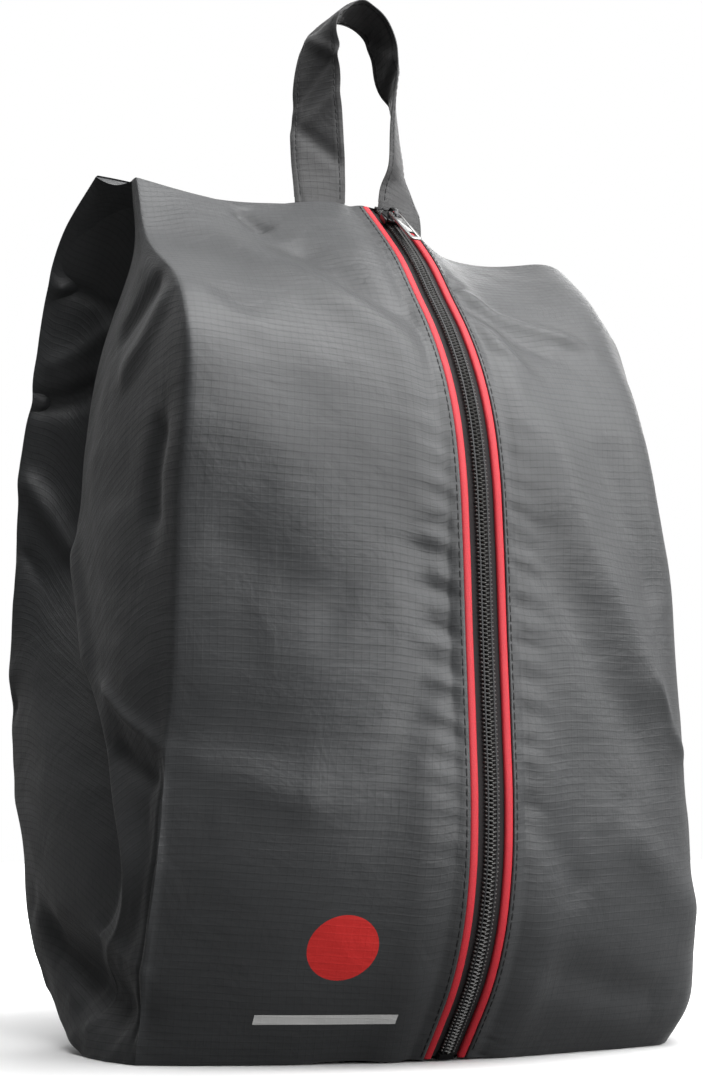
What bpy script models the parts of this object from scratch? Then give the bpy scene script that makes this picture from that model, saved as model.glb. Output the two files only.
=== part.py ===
"""Soft shoe bag with a zip over its crowned front, a pleated gusset on each side and a strap handle.

Metres, +Z up. The origin is the centre of the base, and the zip faces -Y. The zip follows one
circular arc in the plane X = 0, so its slider travels by turning about that arc's axis.
"""

import math

import bmesh
import bpy
from mathutils import Matrix, Vector

# Driving dimensions of the bag
FABRIC = 0.0012          # thickness of a fabric panel, seam allowance included
GAP = 0.0003             # clearance between neighbouring pieces
SEAM_MARGIN = 0.004      # how far a panel stops short of its seam line
BINDING_RADIUS = 0.0015  # bound seam inside each corner
BINDING_DEPTH = 0.0055   # how far inside its seam line it runs

# The arc that the zip follows, in the plane X = 0
ARC_RADIUS = 0.270
ARC_Y = 0.159
ARC_Z = 0.158
ARC_TOP = math.radians(126.9)
ARC_BOTTOM = math.radians(215.0)

# Zip chain, heights measured outwards from the face of the tape
TAPE_INNER = 0.0015
TAPE_OUTER = 0.0160
TAPE_THICK = 0.0006
COIL_OUTER = 0.0040
COIL_TOP = 0.0023
PIPING_INNER = 0.0055
PIPING_OUTER = 0.0095
PIPING_TOP = 0.0020
PANEL_INNER = 0.0100
PANEL_FACE = 0.0018
STOP_LENGTH = 0.0025

# Slider, seen from outside the bag: x across, then a distance along the chain
SLIDER_HALF = 0.006      # half its length
SLIDER_WIDE = 0.0045     # half its width
SLIDER_TOP_END = 0.0030  # half its width at the end nearer the handle
SLIDER_LOW_END = 0.0034  # half its width at the other end
SLIDER_CORNERS = (-0.0035, 0.0040)  # where its sides meet those ends
SLIDER_REST = 0.0015     # how far it rests below the top stops
PLATE_LOW = 0.0026
PLATE_TOP = 0.0038
UNDER_PLATE = 0.0012     # thickness of the plate behind the tape
WEDGE_WIDE = 0.0011      # half the width of the wedge between the two halves of the chain
WEDGE_SPAN = (-0.0058, -0.0036)
LIP_SPAN = (-0.0030, 0.0036)
LIP_IN = 0.0002          # how far a lip reaches in under the plate's side
LIP_OUT = 0.0006
LIP_LOW = 0.0010
MERGE = 0.0006           # how far the wedge runs into each plate
BRIDGE_FOOT = 0.0036
BRIDGE_REACH = 0.0048
BRIDGE_UNDERSIDE = 0.0066
BRIDGE_TOP = 0.0078
BRIDGE_CHAMFER = 0.0006
BRIDGE_WIDE = 0.0009
SPRING_WIDE = 0.0006
SPRING_SPAN = (-0.0032, 0.0030)
SPRING_THICK = 0.0002

# Pull tab, hung on its cross bar under the bridge
PIVOT_HEIGHT = 0.0054
TAB_LENGTH = 0.027
TAB_WIDTH = 0.008
TAB_THICK = 0.0009
TAB_BAR = 0.0006         # how far the cross bar reaches past the pivot
TAB_NECK_WIDE = 0.0034
TAB_NECK_END = 0.0070
TAB_SHOULDER = 0.0100
TAB_CORNER = 0.0030
WINDOW_WIDE = 0.0014
WINDOW_SPAN = (0.0007, 0.0062)
HOLE_FROM_END = 0.0055
HOLE_WIDE = 0.0019
HOLE_LONG = 0.0024
CUT_REACH = 0.001

# Handle strap
RIDGE_Z = 0.3755
STRAP_WIDTH = 0.025
STRAP_THICK = 0.0020
STRAP_SPREAD = 0.022
STRAP_BASE = 0.3780
STRAP_TOP = 0.4870

STRAP_STRAIGHT = 0.15    # share of each leg that stays flat before it turns
ANCHOR_DEPTH = 0.016
ANCHOR_ROOM = 0.0014     # clears the corners of the strap's end as the loop swings
ANCHOR_FACES = (-0.0002, 0.0014)

# Bound ridge seam, outside the strap's sewn ends
RIDGE_START = 0.036
RIDGE_END = 0.082
RIDGE_HALF = 0.0014
RIDGE_LOW = 0.3690
RIDGE_HIGH = 0.3750

# Bound seams in the corners and along the base
BINDING_SPAN = (0.04, 0.70)  # share of each upright seam that is bound
BASE_BINDING_HALF = 0.108
BASE_BINDING_FRONT_IN = 0.008
BASE_BINDING_BACK_IN = -0.006

# Side pleat: its place and reach across the gusset, at the base and at the top
PLEAT_PLACE = (0.74, 0.50)
PLEAT_REACH = (0.20, 0.44)
PLEAT_DEPTH = 0.003
PLEAT_SWELL = 0.014
PINCH_START = 0.72       # share of the back's half width beyond which its top is drawn in

# Seam lines of the left side, from the base up; the right side is their mirror image
FRONT_SEAM = (
    (-0.118, -0.027, 0.003),
    (-0.121, -0.057, 0.103),
    (-0.121, -0.079, 0.215),
    (-0.119, -0.070, 0.300),
    (-0.118, -0.018, 0.350),
    (-0.117, -0.002, 0.372),
)
BACK_SEAM = (
    (-0.126, 0.080, 0.003),
    (-0.134, 0.096, 0.090),
    (-0.137, 0.104, 0.190),
    (-0.136, 0.098, 0.275),
    (-0.131, 0.074, 0.338),
    (-0.124, 0.034, 0.373),
)
BACK_CENTRE = (
    (0.0, 0.096, 0.003),
    (0.0, 0.110, 0.090),
    (0.0, 0.1125, 0.190),
    (0.0, 0.101, 0.275),
    (0.0, 0.054, 0.345),
    (0.0, 0.003, RIDGE_Z),
)


def clear_scene():
    for thing in list(bpy.data.objects):
        bpy.data.objects.remove(thing, do_unlink=True)


def material(name, colour, roughness, metallic=0.0):
    made = bpy.data.materials.new(name)
    made.use_nodes = True
    shader = made.node_tree.nodes["Principled BSDF"]
    shader.inputs["Base Color"].default_value = (*colour, 1.0)
    shader.inputs["Roughness"].default_value = roughness
    shader.inputs["Metallic"].default_value = metallic
    return made


def add_object(name, mesh, stuff, origin=(0.0, 0.0, 0.0)):
    """Link a mesh given in world coordinates as an object whose origin is at the given point."""
    mesh.transform(Matrix.Translation(-Vector(origin)))
    mesh.materials.append(stuff)
    thing = bpy.data.objects.new(name, mesh)
    thing.location = origin
    bpy.context.collection.objects.link(thing)
    return thing


def finish_mesh(name, bm, sharp=40.0):
    bmesh.ops.recalc_face_normals(bm, faces=bm.faces)
    mesh = bpy.data.meshes.new(name)
    bm.to_mesh(mesh)
    bm.free()
    mesh.shade_smooth()
    mesh.set_sharp_from_angle(angle=math.radians(sharp))
    return mesh


def smooth_point(points, t):
    """A point at share t of a smooth curve through the given points."""
    spans = len(points) - 1
    place = min(max(t, 0.0), 1.0) * spans
    k = min(int(place), spans - 1)
    f = place - k
    p1 = Vector(points[k])
    p2 = Vector(points[k + 1])
    p0 = Vector(points[k - 1]) if k > 0 else 2 * p1 - p2
    p3 = Vector(points[k + 2]) if k + 2 <= spans else 2 * p2 - p1
    return 0.5 * (
        2 * p1
        + (p2 - p0) * f
        + (2 * p0 - 5 * p1 + 4 * p2 - p3) * f ** 2
        + (3 * p1 - p0 - 3 * p2 + p3) * f ** 3
    )


def arc_point(x, angle, height=0.0):
    """A point over the zip's arc, at a height above the tape's face."""
    radius = ARC_RADIUS + height
    return Vector((x, ARC_Y + radius * math.cos(angle), ARC_Z + radius * math.sin(angle)))


def arc_front(z, height=0.0):
    """How far forward the zip's arc lies at a given z."""
    radius = ARC_RADIUS + height
    return ARC_Y - math.sqrt(radius ** 2 - (z - ARC_Z) ** 2)


def mirrored(point):
    return Vector((-point.x, point.y, point.z))


def sheet_solid(name, rows, stuff, inside):
    """A closed fabric panel: a grid of outer points, thickened towards the point called inside."""
    across = len(rows[0])
    bm = bmesh.new()
    outer = [[bm.verts.new(p) for p in row] for row in rows]
    normals = []
    for i, row in enumerate(rows):
        line = []
        for j in range(across):
            along = rows[min(i + 1, len(rows) - 1)][j] - rows[max(i - 1, 0)][j]
            side = row[min(j + 1, across - 1)] - row[max(j - 1, 0)]
            normal = along.cross(side).normalized()
            line.append(normal)
        normals.append(line)
    middle = len(rows) // 2
    towards = Vector(inside) - rows[middle][across // 2]
    sign = 1.0 if normals[middle][across // 2].dot(towards) > 0 else -1.0
    inner = [
        [bm.verts.new(p + n * sign * FABRIC) for p, n in zip(row, line)]
        for row, line in zip(rows, normals)
    ]
    for layer in (outer, inner):
        for low, high in zip(layer, layer[1:]):
            for j in range(across - 1):
                bm.faces.new((low[j], low[j + 1], high[j + 1], high[j]))
    rims = (
        (outer[0], inner[0]),
        (outer[-1], inner[-1]),
        ([row[0] for row in outer], [row[0] for row in inner]),
        ([row[-1] for row in outer], [row[-1] for row in inner]),
    )
    for first, second in rims:
        for j in range(len(first) - 1):
            bm.faces.new((first[j], first[j + 1], second[j + 1], second[j]))
    return add_object(name, finish_mesh(name, bm), stuff)


def loft_solid(name, sections, stuff, origin=(0.0, 0.0, 0.0)):
    """A closed solid through matching rings of points, capped at both ends."""
    bm = bmesh.new()
    rings = [[bm.verts.new(p) for p in section] for section in sections]
    count = len(rings[0])
    for low, high in zip(rings, rings[1:]):
        for j in range(count):
            k = (j + 1) % count
            bm.faces.new((low[j], low[k], high[k], high[j]))
    bm.faces.new(rings[0])
    bm.faces.new(rings[-1])
    return add_object(name, finish_mesh(name, bm), stuff, origin)


def tube_solid(name, points, radius, stuff, sides=6):
    """A round bar along a line of points."""
    sections = []
    for i, point in enumerate(points):
        along = (points[min(i + 1, len(points) - 1)] - points[max(i - 1, 0)]).normalized()
        side = along.cross(Vector((0.3, 0.5, 0.8))).normalized()
        other = along.cross(side)
        turns = [2 * math.pi * k / sides for k in range(sides)]
        sections.append([point + radius * (side * math.cos(a) + other * math.sin(a)) for a in turns])
    return loft_solid(name, sections, stuff)


def arc_strip(name, side, inner, outer, low, high, stuff, start=ARC_TOP, end=ARC_BOTTOM, steps=32):
    """A strip of the zip: a rectangle in (x, height) carried along the arc on one side of X = 0."""
    sections = []
    for k in range(steps + 1):
        angle = start + (end - start) * k / steps
        corners = ((inner, low), (outer, low), (outer, high), (inner, high))
        sections.append([arc_point(side * x, angle, h) for x, h in corners])
    return loft_solid(name, sections, stuff)


def front_panel(name, side, stuff):
    """Half of the crowned front, from beside the zip out to the front seam."""
    up, across = 20, 8
    rows = []
    for i in range(up + 1):
        t = i / up
        angle = ARC_BOTTOM - (ARC_BOTTOM - ARC_TOP) * t
        near = arc_point(-PANEL_INNER, angle, PANEL_FACE)
        seam = smooth_point(FRONT_SEAM, t)
        share = 1.0 - SEAM_MARGIN / (seam - near).length
        row = []
        for j in range(across + 1):
            s = share * j / across
            point = near.lerp(seam, s)
            point.y = arc_front(point.z, PANEL_FACE)
            point.y += (seam.y - arc_front(seam.z, PANEL_FACE)) * s ** 2
            row.append(point if side < 0 else mirrored(point))
        rows.append(row)
    return sheet_solid(name, rows, stuff, inside=(side * 0.05, 0.03, 0.16))


def back_panel(stuff):
    """The back, one piece from seam to seam, drawn together with the front at the ridge."""
    up, across = 18, 16
    rows = []
    for i in range(up + 1):
        t = i / up
        seam = smooth_point(BACK_SEAM, t)
        middle = smooth_point(BACK_CENTRE, t)
        share = 1.0 - SEAM_MARGIN / abs(seam.x)
        row = []
        for j in range(across + 1):
            s = share * (2.0 * j / across - 1.0)
            crown = s ** 2
            pinch = max(0.0, (abs(s) - PINCH_START) / (1.0 - PINCH_START))
            blend = crown + (pinch - crown) * t ** 6
            y = middle.y + (seam.y - middle.y) * blend
            z = middle.z + (seam.z - middle.z) * crown
            row.append(Vector((seam.x * -s, y, z)))
        rows.append(row)
    return sheet_solid("back_panel", rows, stuff, inside=(0.0, 0.0, 0.16))


def gusset(name, side, stuff):
    """A side gusset: flat next to the front seam, with an inward pleat ahead of the back seam."""
    up, across = 16, 12
    rows = []
    for i in range(up + 1):
        t = i / up
        front = smooth_point(FRONT_SEAM, t)
        back = smooth_point(BACK_SEAM, t)
        length = (back - front).length
        start = SEAM_MARGIN / length
        fold_place = PLEAT_PLACE[0] + (PLEAT_PLACE[1] - PLEAT_PLACE[0]) * t ** 3
        fold_reach = PLEAT_REACH[0] + (PLEAT_REACH[1] - PLEAT_REACH[0]) * t ** 3
        depth = PLEAT_DEPTH + PLEAT_SWELL * math.sin(math.pi * t)
        row = []
        for j in range(across + 1):
            u = start + (1.0 - 2.0 * start) * j / across
            point = front.lerp(back, u)
            nearness = max(0.0, 1.0 - abs(u - fold_place) / fold_reach)
            point.x += depth * nearness ** 2 * (3.0 - 2.0 * nearness)
            row.append(point if side < 0 else mirrored(point))
        rows.append(row)
    return sheet_solid(name, rows, stuff, inside=(0.0, 0.03, 0.16))


def bottom_panel(stuff):
    """The flat base: its front edge bows out under the zip and its back edge follows the back."""
    half = 12
    front_mid = arc_point(0.0, ARC_BOTTOM).y
    outline = []
    for j in range(-half, half + 1):
        s = j / half
        corner = Vector(FRONT_SEAM[0])
        outline.append((-corner.x * s, front_mid + (corner.y - front_mid) * s ** 2))
    for j in range(half, -half - 1, -1):
        s = j / half
        corner = Vector(BACK_SEAM[0])
        outline.append((-corner.x * s, BACK_CENTRE[0][1] + (corner.y - BACK_CENTRE[0][1]) * s ** 2))
    sections = [[Vector((x, y, z)) for x, y in outline] for z in (0.0, FABRIC)]
    return loft_solid("bottom_panel", sections, stuff)


def inner_line(seam, towards, low, high, steps, depth):
    """Points that follow a seam inside the bag, square to it and a fixed depth from it."""
    line = []
    for k in range(steps + 1):
        t = low + (high - low) * k / steps
        point = smooth_point(seam, t)
        along = (smooth_point(seam, t + 0.01) - smooth_point(seam, t - 0.01)).normalized()
        inwards = (towards - along * towards.dot(along)).normalized()
        line.append(point + depth * inwards)
    return line


def seam_bindings(stuff):
    """Bound seams: one in each upright corner, two along the base and one each side of the ridge."""
    corners = (
        ("front_binding", FRONT_SEAM, Vector((1.0, 1.0, 0.0))),
        ("back_binding", BACK_SEAM, Vector((1.0, -1.0, 0.0))),
    )
    for name, seam, towards in corners:
        left = inner_line(seam, towards, *BINDING_SPAN, 12, BINDING_DEPTH)
        tube_solid(name + "_left", left, BINDING_RADIUS, stuff)
        tube_solid(name + "_right", [mirrored(p) for p in left], BINDING_RADIUS, stuff)
    base_z = FABRIC + GAP + BINDING_RADIUS
    edges = (
        ("base_binding_front", FRONT_SEAM[0], arc_point(0.0, ARC_BOTTOM).y, BASE_BINDING_FRONT_IN),
        ("base_binding_back", BACK_SEAM[0], BACK_CENTRE[0][1], BASE_BINDING_BACK_IN),
    )
    half = 10
    for name, corner, middle_y, push in edges:
        line = []
        for k in range(-half, half + 1):
            s = k / half
            y = middle_y + (corner[1] - middle_y) * s ** 2 + push
            line.append(Vector((BASE_BINDING_HALF * s, y, base_z)))
        tube_solid(name, line, BINDING_RADIUS, stuff)
    for word, side in (("left", -1), ("right", 1)):
        sections = []
        for x in (side * RIDGE_START, side * RIDGE_END):
            corners = (
                (-RIDGE_HALF, RIDGE_LOW),
                (RIDGE_HALF, RIDGE_LOW),
                (RIDGE_HALF, RIDGE_HIGH),
                (-RIDGE_HALF, RIDGE_HIGH),
            )
            sections.append([Vector((x, y, z)) for y, z in corners])
        loft_solid("ridge_binding_" + word, sections, stuff)


def zip_parts(cloth, nylon, piping, metal):
    """Both halves of the zip with their piping, and the metal stops at its two ends."""
    chain_start = ARC_TOP + (STOP_LENGTH + 2 * GAP) / ARC_RADIUS
    chain_end = ARC_BOTTOM - (STOP_LENGTH + 2 * GAP) / ARC_RADIUS
    for word, side in (("left", -1), ("right", 1)):
        arc_strip("zip_tape_" + word, side, TAPE_INNER, TAPE_OUTER, -TAPE_THICK, 0.0, cloth)
        arc_strip(
            "zip_coil_" + word, side, TAPE_INNER, COIL_OUTER, GAP, COIL_TOP, nylon, chain_start, chain_end
        )
        arc_strip("piping_" + word, side, PIPING_INNER, PIPING_OUTER, GAP, PIPING_TOP, piping)
        top_end = ARC_TOP + STOP_LENGTH / ARC_RADIUS
        arc_strip(
            "zip_top_stop_" + word, side, TAPE_INNER, COIL_OUTER, GAP, COIL_TOP, metal, ARC_TOP, top_end, 2
        )
    start = ARC_BOTTOM - STOP_LENGTH / ARC_RADIUS
    sections = []
    for angle in (start, ARC_BOTTOM):
        corners = ((-COIL_OUTER, GAP), (COIL_OUTER, GAP), (COIL_OUTER, COIL_TOP), (-COIL_OUTER, COIL_TOP))
        sections.append([arc_point(x, angle, h) for x, h in corners])
    loft_solid("zip_bottom_stop", sections, metal)


def slider_angle():
    """Where the slider's centre rests on the arc: closed, just below the top stops."""
    return ARC_TOP + (STOP_LENGTH + SLIDER_HALF + SLIDER_REST) / ARC_RADIUS


def slider_point(x, along, height):
    """A point in the slider's own frame: x across, along the chain towards its lower end, height."""
    angle = slider_angle()
    outwards = Vector((0.0, math.cos(angle), math.sin(angle)))
    downwards = Vector((0.0, -math.sin(angle), math.cos(angle)))
    return arc_point(x, angle, 0.0) + outwards * height + downwards * along


def slab(name, outline, low, high, stuff, origin):
    """A flat plate in the slider's frame: an outline in (x, along) between two heights."""
    sections = [[slider_point(x, a, h) for x, a in outline] for h in (low, high)]
    return loft_solid(name, sections, stuff, origin)


def oblong(half_width, span):
    """An outline in the slider's frame: a rectangle centred on the chain."""
    start, end = span
    return [(-half_width, start), (half_width, start), (half_width, end), (-half_width, end)]


def unite(target, others):
    """Join pieces that overlap into one solid; the pieces stay only as hidden tools."""
    for other in others:
        join = target.modifiers.new("join", "BOOLEAN")
        join.operation = "UNION"
        join.solver = "EXACT"
        join.object = other
        other.hide_render = True
        other.display_type = "WIRE"
    return target


def slider(metal, steel):
    """Slider body of two plates held apart by a wedge, its bridge, lock spring and pull tab."""
    axis = (0.0, ARC_Y, ARC_Z)
    plate = [
        (-SLIDER_TOP_END, -SLIDER_HALF),
        (SLIDER_TOP_END, -SLIDER_HALF),
        (SLIDER_WIDE, SLIDER_CORNERS[0]),
        (SLIDER_WIDE, SLIDER_CORNERS[1]),
        (SLIDER_LOW_END, SLIDER_HALF),
        (-SLIDER_LOW_END, SLIDER_HALF),
        (-SLIDER_WIDE, SLIDER_CORNERS[1]),
        (-SLIDER_WIDE, SLIDER_CORNERS[0]),
    ]
    under_top = -TAPE_THICK - GAP
    body = slab("slider_body", plate, PLATE_LOW, PLATE_TOP, metal, axis)
    under = slab("cut_under", plate, under_top - UNDER_PLATE, under_top, metal, axis)
    wedge = slab(
        "cut_wedge", oblong(WEDGE_WIDE, WEDGE_SPAN), under_top - MERGE, PLATE_LOW + MERGE, metal, axis
    )
    lips = []
    for word, side in (("left", -1), ("right", 1)):
        near = side * (SLIDER_WIDE - LIP_IN)
        far = side * (SLIDER_WIDE + LIP_OUT)
        start, end = LIP_SPAN
        outline = [(near, start), (far, start), (far, end), (near, end)]
        lips.append(slab("cut_lip_" + word, outline, LIP_LOW, PLATE_TOP - LIP_IN, metal, axis))
    unite(body, [wedge, under] + lips)

    foot, reach, chamfer = BRIDGE_FOOT, BRIDGE_REACH, BRIDGE_CHAMFER
    low, under_z, top = PLATE_TOP + GAP, BRIDGE_UNDERSIDE, BRIDGE_TOP
    profile = [
        (-reach, low),
        (-foot, low),
        (-foot, under_z - chamfer),
        (-foot + chamfer, under_z),
        (foot - chamfer, under_z),
        (foot, under_z - chamfer),
        (foot, low),
        (reach, low),
        (reach, top - chamfer),
        (reach - chamfer, top),
        (-reach + chamfer, top),
        (-reach, top - chamfer),
    ]
    sections = [[slider_point(x, a, h) for a, h in profile] for x in (-BRIDGE_WIDE, BRIDGE_WIDE)]
    loft_solid("slider_bridge", sections, metal, axis)

    leaf = oblong(SPRING_WIDE, SPRING_SPAN)
    slab("slider_lock_spring", leaf, PLATE_TOP + GAP, PLATE_TOP + GAP + SPRING_THICK, steel, axis)


def pull_tab(metal):
    """A flat tab hung on a cross bar under the bridge, with a window round the bridge and a hole."""
    pivot = slider_point(0.0, 0.0, PIVOT_HEIGHT)
    low, high = PIVOT_HEIGHT - TAB_THICK / 2, PIVOT_HEIGHT + TAB_THICK / 2
    wide = TAB_WIDTH / 2
    outline = [
        (-TAB_NECK_WIDE, -TAB_BAR),
        (TAB_NECK_WIDE, -TAB_BAR),
        (TAB_NECK_WIDE, TAB_NECK_END),
        (wide, TAB_SHOULDER),
        (wide, TAB_LENGTH - TAB_CORNER),
        (wide * 0.6, TAB_LENGTH),
        (-wide * 0.6, TAB_LENGTH),
        (-wide, TAB_LENGTH - TAB_CORNER),
        (-wide, TAB_SHOULDER),
        (-TAB_NECK_WIDE, TAB_NECK_END),
    ]
    tab = slab("pull_tab", outline, low, high, metal, pivot)
    window = oblong(WINDOW_WIDE, WINDOW_SPAN)
    sides = 16
    turns = [2 * math.pi * k / sides for k in range(sides)]
    middle = TAB_LENGTH - HOLE_FROM_END
    ring = [(HOLE_WIDE * math.cos(a), middle + HOLE_LONG * math.sin(a)) for a in turns]
    for name, outline in (("cut_window", window), ("cut_hole", ring)):
        tool = slab(name, outline, low - CUT_REACH, high + CUT_REACH, metal, pivot)
        tool.hide_render = True
        tool.display_type = "WIRE"
        cut = tab.modifiers.new("cut", "BOOLEAN")
        cut.operation = "DIFFERENCE"
        cut.solver = "EXACT"
        cut.object = tool


def strap_section(centre, along, facing):
    """A rectangle of strap: its width lies across both its run and the way its face points."""
    across = along.cross(facing).normalized() * STRAP_WIDTH / 2
    thick = facing.normalized() * STRAP_THICK / 2
    return [centre - across - thick, centre + across - thick, centre + across + thick, centre - across + thick]


def strap_turn(t):
    """How far a leg of the strap has turned at share t of its height."""
    turn = min(max((t - STRAP_STRAIGHT) / (1.0 - STRAP_STRAIGHT), 0.0), 1.0)
    return math.pi / 2 * turn ** 2 * (3 - 2 * turn)


def handle(strap_cloth):
    """A loop of strap: each leg starts flat across the ridge and turns a quarter before the bend."""
    bend_z = STRAP_TOP - STRAP_THICK / 2 - STRAP_SPREAD
    sections = []
    leg_steps, bend_steps = 16, 14
    for k in range(leg_steps):
        t = k / leg_steps
        angle = strap_turn(t)
        facing = Vector((-math.sin(angle), -math.cos(angle), 0.0))
        centre = Vector((-STRAP_SPREAD, 0.0, STRAP_BASE + (bend_z - STRAP_BASE) * t))
        sections.append(strap_section(centre, Vector((0.0, 0.0, 1.0)), facing))
    for k in range(bend_steps + 1):
        angle = math.pi * k / bend_steps
        facing = Vector((-math.cos(angle), 0.0, math.sin(angle)))
        centre = Vector((0.0, 0.0, bend_z)) + facing * STRAP_SPREAD
        sections.append(strap_section(centre, Vector((math.sin(angle), 0.0, math.cos(angle))), facing))
    for k in range(1, leg_steps + 1):
        t = 1.0 - k / leg_steps
        angle = strap_turn(t)
        facing = Vector((math.sin(angle), math.cos(angle), 0.0))
        centre = Vector((STRAP_SPREAD, 0.0, STRAP_BASE + (bend_z - STRAP_BASE) * t))
        sections.append(strap_section(centre, Vector((0.0, 0.0, -1.0)), facing))
    loft_solid("handle_strap", sections, strap_cloth, (0.0, 0.0, STRAP_BASE))


def handle_anchors(strap_cloth):
    """The two strap ends sewn into the ridge seam, below the loop that moves."""
    low, high = STRAP_BASE - ANCHOR_DEPTH, STRAP_BASE - ANCHOR_ROOM
    front, rear = ANCHOR_FACES
    for word, side in (("left", -1), ("right", 1)):
        inner = side * (STRAP_SPREAD - STRAP_WIDTH / 2)
        outer = side * (STRAP_SPREAD + STRAP_WIDTH / 2)
        sections = []
        for z in (low, high):
            corners = ((inner, front), (outer, front), (outer, rear), (inner, rear))
            sections.append([Vector((x, y, z)) for x, y in corners])
        loft_solid("handle_anchor_" + word, sections, strap_cloth)


def build():
    clear_scene()
    cloth = material("ripstop_nylon", (0.075, 0.077, 0.080), 0.48)
    tape = material("zip_tape", (0.020, 0.019, 0.020), 0.75)
    nylon = material("zip_coil", (0.035, 0.034, 0.033), 0.38)
    piping = material("red_piping", (0.62, 0.035, 0.050), 0.50)
    metal = material("slider_metal", (0.62, 0.62, 0.63), 0.25, 1.0)
    steel = material("spring_steel", (0.45, 0.45, 0.46), 0.30, 1.0)
    strap = material("strap_nylon", (0.060, 0.061, 0.064), 0.55)
    binding = material("seam_binding", (0.030, 0.030, 0.032), 0.70)

    front_panel("front_panel_left", -1, cloth)
    front_panel("front_panel_right", 1, cloth)
    back_panel(cloth)
    gusset("gusset_left", -1, cloth)
    gusset("gusset_right", 1, cloth)
    bottom_panel(cloth)
    seam_bindings(binding)
    zip_parts(tape, nylon, piping, metal)
    slider(metal, steel)
    pull_tab(metal)
    handle(strap)
    handle_anchors(strap)


build()
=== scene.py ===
"""Soft shoe bag standing on a pale floor: ripstop shell, coil zip with red piping, strap handle.

Every length is in metres. Outlines are listed in millimetres, as (x, y, z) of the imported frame.
"""

import math

import bmesh
import bpy
import numpy as np
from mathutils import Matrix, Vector


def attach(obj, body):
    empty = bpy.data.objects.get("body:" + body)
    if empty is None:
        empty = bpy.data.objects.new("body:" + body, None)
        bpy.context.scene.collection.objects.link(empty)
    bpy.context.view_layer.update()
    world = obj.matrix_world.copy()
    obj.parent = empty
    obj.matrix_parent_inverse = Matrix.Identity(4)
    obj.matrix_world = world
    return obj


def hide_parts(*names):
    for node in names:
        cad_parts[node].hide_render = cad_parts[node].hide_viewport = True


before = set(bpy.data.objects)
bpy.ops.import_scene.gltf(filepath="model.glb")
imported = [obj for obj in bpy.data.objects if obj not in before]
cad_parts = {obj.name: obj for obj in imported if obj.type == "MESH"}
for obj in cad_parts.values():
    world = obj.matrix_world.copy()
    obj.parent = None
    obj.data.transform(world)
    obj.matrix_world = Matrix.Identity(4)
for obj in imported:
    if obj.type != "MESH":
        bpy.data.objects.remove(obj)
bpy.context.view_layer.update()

MM = 0.001
LEFT, RIGHT = -1, 1
SIDES = ((LEFT, "left"), (RIGHT, "right"))

# The zip's line in the plane x = 0, from the ridge down: (y, z)
ZIP_LINE = (
    (-3, 374.5), (-22, 357), (-39.5, 339.5), (-56, 318.5), (-71, 299), (-83, 279), (-91.5, 258),
    (-96.5, 235), (-99, 205), (-100.5, 170), (-102.5, 130), (-103.5, 100), (-101.5, 74), (-95.5, 51),
    (-84.5, 30), (-71.5, 14), (-61, 2),
)

# Upright lines of the left side as (x, y, z): front edge, flank, fold lip, valley, back edge
LEFT_LINES = {
    "edge": (
        (-118, -27, 0), (-119, -42, 40), (-120, -58, 78), (-120, -62, 100), (-119, -61, 122),
        (-119, -67, 150), (-120, -71, 185), (-121, -76, 220), (-121, -83, 252), (-120, -79, 290),
        (-118, -60, 313), (-117, -22, 338), (-117, -1, 374),
    ),
    "flank": (
        (-124, -14, 0), (-121, -26, 40), (-121, -46, 76), (-120, -46, 102), (-122, -42, 125),
        (-128, -32, 150), (-130, -14, 185), (-129, 6, 220), (-128, 12, 250), (-125, -5, 290),
        (-121, -20, 320), (-119, -14, 338), (-117.5, 4, 374),
    ),
    "lip": (
        (-129, 10, 0), (-125, -8, 40), (-126, -30, 60), (-128, -36, 76), (-129, -26, 102),
        (-129, -11, 128), (-129, 8, 150), (-127, 36, 180), (-125, 54, 205), (-123, 60, 225),
        (-123, 56, 245), (-122, 46, 280), (-120, 34, 306), (-118, 20, 322), (-116.5, 6, 336),
        (-116.5, 7, 374),
    ),
    "valley": (
        (-130, 26, 6), (-124, 6, 40), (-122, -16, 62), (-120, -16, 80), (-118, -4, 102),
        (-115, 14, 128), (-111, 34, 150), (-105, 66, 182), (-101, 80, 210), (-95, 74, 245),
        (-88, 62, 290), (-80, 44, 325), (-74, 28, 350), (-70, 12, 374),
    ),
    "back": (
        (-131, 66, 24), (-134, 78, 40), (-137, 91, 87), (-139, 105, 116), (-139, 114, 157),
        (-139, 112, 214), (-139, 103, 268), (-138, 90, 302), (-137, 82, 332), (-136, 72, 352),
        (-133, 56, 369), (-126, 33, 385),
    ),
}

# The right side is slacker: its shoulder slumps and its flank bellies out
RIGHT_LINES = {
    "edge": (
        (110, -50, 0), (116, -60, 14), (117, -68, 40), (115, -72, 75), (112, -74, 114),
        (110, -75, 155), (108, -75, 195), (103, -74, 230), (98, -72, 262), (94, -64, 290),
        (92, -50, 315), (96, -28, 338), (100, -4, 356),
    ),
    "flank": (
        (130, -26, 0), (139, -30, 14), (142, -30, 40), (139, -32, 75), (136, -33, 114),
        (133, -32, 155), (130, -32, 195), (127, -30, 230), (124, -30, 262), (121, -26, 290),
        (118, -16, 320), (111, -2, 343), (104, 6, 354),
    ),
    "lip": (
        (132, 14, 0), (142, 14, 20), (147, 14, 50), (148, 16, 110), (146, 18, 180), (143, 20, 240),
        (137, 22, 285), (128, 24, 322), (110, 14, 354),
    ),
    "valley": (
        (132, 46, 2), (140, 52, 30), (139, 62, 80), (132, 72, 140), (126, 74, 200), (122, 66, 260),
        (116, 52, 310), (112, 30, 344), (110, 18, 355),
    ),
    "back": (
        (129, 76, 4), (134, 86, 40), (138, 100, 110), (139, 107, 170), (138, 106, 230), (137, 95, 285),
        (134, 74, 330), (123, 46, 350), (112, 30, 357),
    ),
}
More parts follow.
